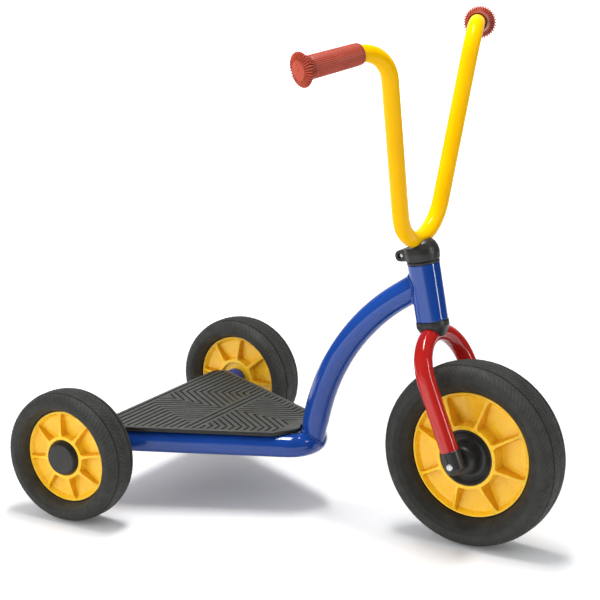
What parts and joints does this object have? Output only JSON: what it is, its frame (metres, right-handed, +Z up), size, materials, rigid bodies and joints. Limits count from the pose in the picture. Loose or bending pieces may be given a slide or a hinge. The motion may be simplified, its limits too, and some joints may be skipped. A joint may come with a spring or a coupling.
{
  "type": "three-wheel kids scooter",
  "caption": "Nursery kick scooter with a bent steel frame, grooved standing deck, ribbed wheels and a V handlebar that steers the large front wheel.",
  "frame": {"origin": "on the ground, at the centre of the bounding box, midway between the rearmost and foremost points of the tyres", "axes": "+X forward, +Y to the rider's left, +Z up"},
  "size_m": [0.6722, 0.4674, 0.6393],
  "materials": {
    "frame_blue": "gloss",
    "fork_red": "gloss",
    "bar_yellow": "gloss",
    "rim_yellow": "gloss",
    "tyre_rubber": "matte",
    "deck_rubber": "matte",
    "grip_red": "matte",
    "black_plastic": "satin",
    "nylon_black": "matte",
    "zinc_steel": "satin"
  },
  "bodies": {
    "frame": {"deck_frame_tube": "frame_blue", "rear_cross_tube": "frame_blue", "main_tube": "frame_blue", "head_tube": "frame_blue", "upper_head_bush": "nylon_black", "lower_head_bush": "nylon_black", "rear_axle": "zinc_steel", "axle_plug_left": "nylon_black", "axle_plug_right": "nylon_black", "push_nut_left": "zinc_steel", "push_nut_right": "zinc_steel", "deck_platform": "deck_rubber", "deck_bearer_rear": "frame_blue", "deck_bearer_front": "frame_blue", "deck_screw_rear_left": "zinc_steel", "deck_screw_rear_right": "zinc_steel", "deck_screw_front_left": "zinc_steel", "deck_screw_front_right": "zinc_steel"},
    "steering": {"fork_tube": "fork_red", "fork_end_left": "black_plastic", "fork_end_right": "black_plastic", "front_spacer_left": "zinc_steel", "front_spacer_right": "zinc_steel", "front_axle": "zinc_steel", "fork_collar": "black_plastic", "steerer_tube": "fork_red", "handlebar": "bar_yellow", "handlebar_stem": "bar_yellow", "stem_clamp": "black_plastic", "clamp_bolt": "zinc_steel", "grip_left": "grip_red", "grip_right": "grip_red"},
    "front_wheel": {"front_tyre": "tyre_rubber", "front_rim": "rim_yellow", "front_bush_left": "nylon_black", "front_bush_right": "nylon_black", "front_hub_cover_left": "black_plastic", "front_hub_cover_right": "black_plastic"},
    "rear_wheel_left": {"rear_tyre_left": "tyre_rubber", "rear_rim_left": "rim_yellow", "rear_bush_outer_left": "nylon_black", "rear_bush_inner_left": "nylon_black", "rear_hub_cap_left": "black_plastic"},
    "rear_wheel_right": {"rear_tyre_right": "tyre_rubber", "rear_rim_right": "rim_yellow", "rear_bush_outer_right": "nylon_black", "rear_bush_inner_right": "nylon_black", "rear_hub_cap_right": "black_plastic"}
  },
  "joints": [
    {"name": "steering", "type": "hinge", "parent": "frame", "child": "steering", "pos_m": [0.18861, 0, 0.11133], "axis": [-0.1978, 0, 0.9802], "range_deg": [-90, 90]},
    {"name": "front_wheel_spin", "type": "hinge", "parent": "steering", "child": "front_wheel", "pos_m": [0.2187, 0, 0.1174], "axis": [0, 1, 0], "continuous": true},
    {"name": "rear_wheel_left_spin", "type": "hinge", "parent": "frame", "child": "rear_wheel_left", "pos_m": [-0.2511, 0.2015, 0.085], "axis": [0, 1, 0], "continuous": true},
    {"name": "rear_wheel_right_spin", "type": "hinge", "parent": "frame", "child": "rear_wheel_right", "pos_m": [-0.2511, -0.2015, 0.085], "axis": [0, 1, 0], "continuous": true}
  ]
}
